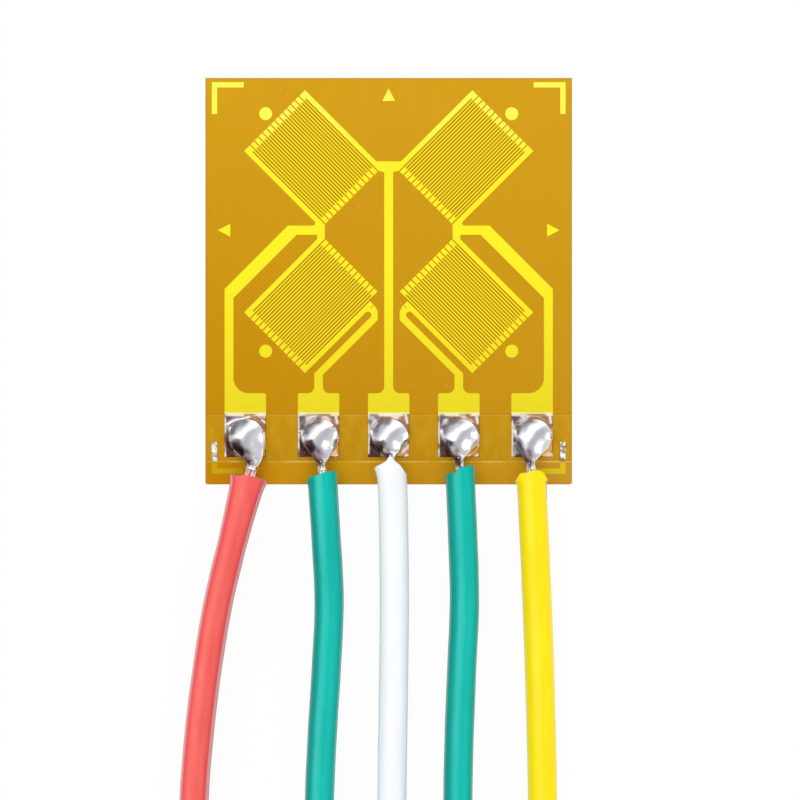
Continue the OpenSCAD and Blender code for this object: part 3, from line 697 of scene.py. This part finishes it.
def tin_tint(j, v):
    """Colour of the tinning: dark at the lower left, brown and amber round the right, with painted highlights along its
    upper and left rims and in scattered glints.
    """
    u = (v.x - PADS[j.i]) / (PAD_W / 2)
    w = (v.y - (PAD_FOOT + WINDOW_TOP) / 2) / ((WINDOW_TOP - PAD_FOOT) / 2)
    seed = Vector((v.x, v.y, 5.0 + j.i * 1.7))
    drift = 0.35 * noise.noise(seed * 1.8) + 0.15 * noise.noise(seed * 5.0)
    left, high = smoothstep(0.4, -0.5, u + drift), smoothstep(-0.3, 0.5, w + drift)
    low_tint = blend(AMBER_TIN, DARK_TIN, left)
    high_tint = blend(BROWN_TIN, PURPLE_TIN, smoothstep(0.2, -0.9, u + drift))
    tint = blend(low_tint, high_tint, high)
    # painted highlights: scattered glints, the upper and left rims, and the listed glints
    highlight = smoothstep(0.1, 0.45, noise.noise(seed * 3.2 + Vector((7, 2, 3)))) * 0.55
    highlight = max(highlight, smoothstep(0.86, 0.94, w) * smoothstep(-0.55, -0.05, noise.noise(seed * 2.5)))
    highlight = max(highlight, smoothstep(0.88, 0.96, -u) * smoothstep(-0.5, 0.0, noise.noise(seed * 3.4)))
    for start, end, half in FIRST_GLINTS if j.i == 0 else GLINTS:
        highlight = max(highlight, ridge_mask(u + 0.12 * drift, w - 0.12 * drift, start, end, half))
    return blend(tint, HIGHLIGHT_TIN, highlight)


def tin_height(j, x, y, rim):
    """Height of the tinning at a place on the pad; rim is its distance from the pad's edge."""
    seed = Vector((x, y, j.i * 2.9))
    away = max(j.outside(x, y), 0.0)
    h = 0.022 + (BEAD_FOOT + 0.012) * math.exp(-away / 0.1)
    h += (0.018 * noise.noise(seed * 2.2) + 0.004 * noise.noise(seed * 6.0)) * smoothstep(0.0, 0.1, away)
    upper_left = max(smoothstep(0.3, 0.05, x - (PADS[j.i] - PAD_W / 2)), smoothstep(0.2, 0.05, WINDOW_TOP - y))
    edge = math.exp(-((rim - 0.025) / 0.018) ** 2) * (0.15 + 0.85 * upper_left)
    h += 0.02 * edge * (0.9 + 0.9 * noise.noise(seed * 4.0))
    h += 0.05 * smoothstep(0.45, 0.62, noise.noise(seed * 5.0 + Vector((4, 1, 0))))
    return max(h, 0.004) * smoothstep(-0.004, 0.025, rim)


def add_tinning(j, verts, faces):
    """The skin of solder on the bare pad, thick at the bead and at its own rim."""
    nx, ny = 130, 134
    x0, x1 = PADS[j.i] - PAD_W / 2, PADS[j.i] + PAD_W / 2
    y0, y1 = PAD_FOOT, WINDOW_TOP
    base = len(verts)
    for layer in (0, 1):
        for b in range(ny + 1):
            for a in range(nx + 1):
                x, y = x0 + (x1 - x0) * a / nx, y0 + (y1 - y0) * b / ny
                z = FOIL_TOP
                if layer:
                    z += 0.0005 + tin_height(j, x, y, min(x - x0, x1 - x, y - y0, y1 - y))
                verts.append(Vector((x, y, z)))
    row = nx + 1
    size = row * (ny + 1)
    for b in range(ny):
        for a in range(nx):
            q = base + b * row + a
            faces.append((q, q + row, q + row + 1, q + 1))
            q += size
            faces.append((q, q + 1, q + row + 1, q + row))
    loop = [base + a for a in range(nx)] + [base + nx + b * row for b in range(ny)]
    loop += [base + ny * row + nx - a for a in range(nx)] + [base + (ny - b) * row for b in range(ny)]
    for a, b in zip(loop, loop[1:] + loop[:1]):
        faces.append((a, b, b + size, a + size))


for i in range(len(LEADS)):
    make_joint(i)


# Bare strands between the solder and the insulation
def make_strands(i):
    j = Joint(i)
    ring = [(0.0, 0.0)] + [(math.cos(math.radians(60 * k)), math.sin(math.radians(60 * k))) for k in range(6)]
    sides = 14
    verts, faces = [], []
    s0, s1 = j.reach - 0.1, j.reach + j.bare + 0.04
    steps = 22
    wide = SPREAD[i] / CORE_R
    for n, (across, up) in enumerate(ring):
        base = len(verts)
        for q in range(steps + 1):
            s = s0 + (s1 - s0) * q / steps
            at, way = j.line(s)
            right = Vector((-way.y, way.x, 0))
            twist = math.radians(24) * (q / steps - 0.5)
            a = across * math.cos(twist) - up * math.sin(twist)
            u = across * math.sin(twist) + up * math.cos(twist)
            loose = 1 + 0.1 * noise.noise(Vector((n * 3.1, i * 2.3, q * 0.15)))
            mid = at + right * (a * 0.095 * wide * loose)
            mid.z = j.core_z(s) + u * 0.095 * loose
            for k in range(sides):
                t = 2 * math.pi * k / sides
                verts.append(mid + right * (0.055 * math.cos(t)) + Vector((0, 0, 0.055 * math.sin(t))))
        for q in range(steps):
            for k in range(sides):
                a, b = base + q * sides + k, base + q * sides + (k + 1) % sides
                faces.append((a, b, b + sides, a + sides))
        faces.append(tuple(base + k for k in reversed(range(sides))))
        faces.append(tuple(base + steps * sides + k for k in range(sides)))
    ob = mesh_object("strands_" + LEADS[i], verts, faces)
    ob.data.materials.append(CORE_PINK if i == 0 else CORE)
    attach(ob, "root")
    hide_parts("core_" + LEADS[i])


for i in range(len(LEADS)):
    make_strands(i)


# ---------------------------------------------------------------- films
def slab(name, node, y0, y1, z0, z1, soft, corner=0.0):
    """A closed film with softened edges that stands for a cover."""
    w = FILM_W / 2
    outline = []
    if corner:
        for cx, start in ((-w + corner, 180), (w - corner, 270)):
            for k in range(7):
                a = math.radians(start + 90 * k / 6)
                outline.append((cx + corner * math.cos(a), y0 + corner + corner * math.sin(a)))
        outline += [(w, y1), (-w, y1)]
    else:
        outline = [(-w, y0), (w, y0), (w, y1), (-w, y1)]
    me = bpy.data.meshes.new(name)
    verts = []
    mid = Vector((0, (y0 + y1) / 2, 0))

    def inset(p, by):
        return (p[0] - math.copysign(by, p[0]), p[1] - math.copysign(by, p[1] - mid.y))

    for z, by in ((z0, 0.0), (z1 - soft, 0.0), (z1 - 0.3 * soft, 0.3 * soft), (z1, soft)):
        verts += [(*inset(p, by), z) for p in outline]
    n = len(outline)
    faces = [tuple(reversed(range(n))), tuple(3 * n + k for k in range(n))]
    for k in range(3):
        for s in range(n):
            a, b = k * n + s, k * n + (s + 1) % n
            faces.append((a, b, b + n, a + n))
    me.from_pydata([tuple(Vector(v) * MM) for v in verts], [], faces)
    me.validate()
    ob = bpy.data.objects.new(name, me)
    bpy.context.scene.collection.objects.link(ob)
    me.materials.append(COVER)
    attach(ob, "root")
    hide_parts(node)
    return ob


FOIL_LIFT = 0.0005
slab("cover_sheet", "cover_film", WINDOW_TOP, FILM_L / 2, FOIL_TOP + FOIL_LIFT, FILM_TOP, 0.006)
slab("cover_strip_sheet", "cover_strip", FILM_FOOT, STRIP_TOP, FOIL_TOP + FOIL_LIFT, FILM_TOP, 0.006, corner=0.08)

# ---------------------------------------------------------------- the CAD nodes that stay
def dress(node, material):
    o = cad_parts[node]
    o.data.materials.clear()
    o.data.materials.append(material)


dress("backing_film", FILM)
dress("foil_circuit", FOIL)
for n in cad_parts:
    if "_mark_" in n:
        dress(n, FOIL)
    if n.startswith("solder_fleck"):
        dress(n, FLECK)
    if n.startswith("tip_"):
        dress(n, CORE)


# ---------------------------------------------------------------- floor, world and lights
def make_floor():
    s = 600
    ob = mesh_object("floor", [(-s, -s, -0.002), (s, -s, -0.002), (s, s, -0.002), (-s, s, -0.002)], [(0, 1, 2, 3)])
    m = bpy.data.materials.new("floor")
    t = Tree(m)
    diffuse = t.node("ShaderNodeBsdfDiffuse")
    diffuse.inputs[0].default_value = (0.93, 0.93, 0.93, 1)
    glow = t.node("ShaderNodeEmission")
    glow.inputs[0].default_value = (1, 1, 1, 1)
    path = t.node("ShaderNodeLightPath")
    mix = t.node("ShaderNodeMixShader")
    t.put(mix.inputs[0], t.math("MULTIPLY", path.outputs["Is Camera Ray"], 0.94))
    t.t.links.new(diffuse.outputs[0], mix.inputs[1])
    t.t.links.new(glow.outputs[0], mix.inputs[2])
    out = t.node("ShaderNodeOutputMaterial")
    t.t.links.new(mix.outputs[0], out.inputs[0])
    ob.data.materials.append(m)


def make_world():
    """White for the eye and for diffuse light; a studio of strip lights and dark walls for reflections."""
    w = bpy.data.worlds.new("studio")
    bpy.context.scene.world = w
    t = Tree(w)
    direction = t.node("ShaderNodeTexCoord").outputs["Generated"]
    x, y, z = t.xyz(direction)

    across = t.math("ADD", t.math("MULTIPLY", x, -0.76), t.math("MULTIPLY", y, 0.65))
    along = t.math("ADD", t.math("MULTIPLY", x, 0.65), t.math("MULTIPLY", y, 0.76))
    # the strip light bends towards its upper right end
    end = t.math("MAXIMUM", t.math("SUBTRACT", along, 0.2), 0.0)
    bent = t.math("ADD", across, t.math("MULTIPLY", t.math("MULTIPLY", end, end), 0.7))
    level = t.math("SQRT", t.math("ADD", t.math("MULTIPLY", x, x), t.math("MULTIPLY", y, y)))
    level = t.math("MAXIMUM", level, 0.001)

    def sector(towards, half, soft):
        """One within half degrees of a compass direction, falling to zero over soft degrees."""
        a = math.radians(towards)
        c = t.math("ADD", t.math("MULTIPLY", x, math.cos(a)), t.math("MULTIPLY", y, math.sin(a)))
        return t.ramp(t.math("DIVIDE", c, level), math.cos(math.radians(half + soft)), math.cos(math.radians(half)))

    def lit(mask, low, high, soft):
        return t.math("MULTIPLY", mask, t.band(z, low, high, soft))

    # a pale room, with its walls darker towards the left and the foot of the picture
    room = (0.66, 0.655, 0.68, 1)
    wall = t.mix(sector(150, 50, 30), (0.74, 0.74, 0.76, 1), (0.15, 0.14, 0.16, 1))
    wall = t.mix(sector(-100, 30, 25), wall, (0.22, 0.15, 0.14, 1))
    sky = t.mix(t.ramp(z, 0.5, 0.1), room, wall)
    shade = t.mix(t.ramp(z, 0.1, 0.3), (0.24, 0.12, 0.08, 1), (0.06, 0.04, 0.05, 1))
    # the long light at the upper left, one low at the right and one below
    strip = t.math("MULTIPLY", t.band(bent, 0.47, 0.6, 0.28), t.ramp(along, -0.85, -0.55))
    far = lit(sector(4, 8, 6), 0.14, 0.34, 0.08)
    low = lit(sector(-40, 20, 12), 0.4, 0.84, 0.1)
    studio = t.mix(strip, sky, (1.5, 1.5, 1.5, 1))
    studio = t.mix(t.math("MAXIMUM", far, low), studio, (1.5, 1.5, 1.5, 1))
    studio = t.mix(t.math("MULTIPLY", sector(223, 27, 7), t.ramp(z, 0.85, 0.55)), studio, shade)
    path = t.node("ShaderNodeLightPath")
    glossy = t.node("ShaderNodeBackground")
    t.put(glossy.inputs[0], studio)
    plain = t.node("ShaderNodeBackground")
    plain.inputs[0].default_value = (1, 1, 1, 1)
    plain.inputs[1].default_value = 1.04
    mix = t.node("ShaderNodeMixShader")
    t.put(mix.inputs[0], path.outputs["Is Glossy Ray"])
    t.t.links.new(plain.outputs[0], mix.inputs[1])
    t.t.links.new(glossy.outputs[0], mix.inputs[2])
    out = t.node("ShaderNodeOutputWorld")
    t.t.links.new(mix.outputs[0], out.inputs[0])


def area_light(name, place, size, power, aim=(0, -4, 0)):
    data = bpy.data.lights.new(name, "AREA")
    data.size = size * MM
    data.energy = power
    ob = bpy.data.objects.new(name, data)
    bpy.context.scene.collection.objects.link(ob)
    ob.location = Vector(place) * MM
    ob.rotation_euler = (Vector(aim) - Vector(place)).to_track_quat("-Z", "Y").to_euler()
    ob.visible_glossy = False
    return ob


make_floor()
make_world()
area_light("soft_left", (-60, 30, 80), 60, 0.006)
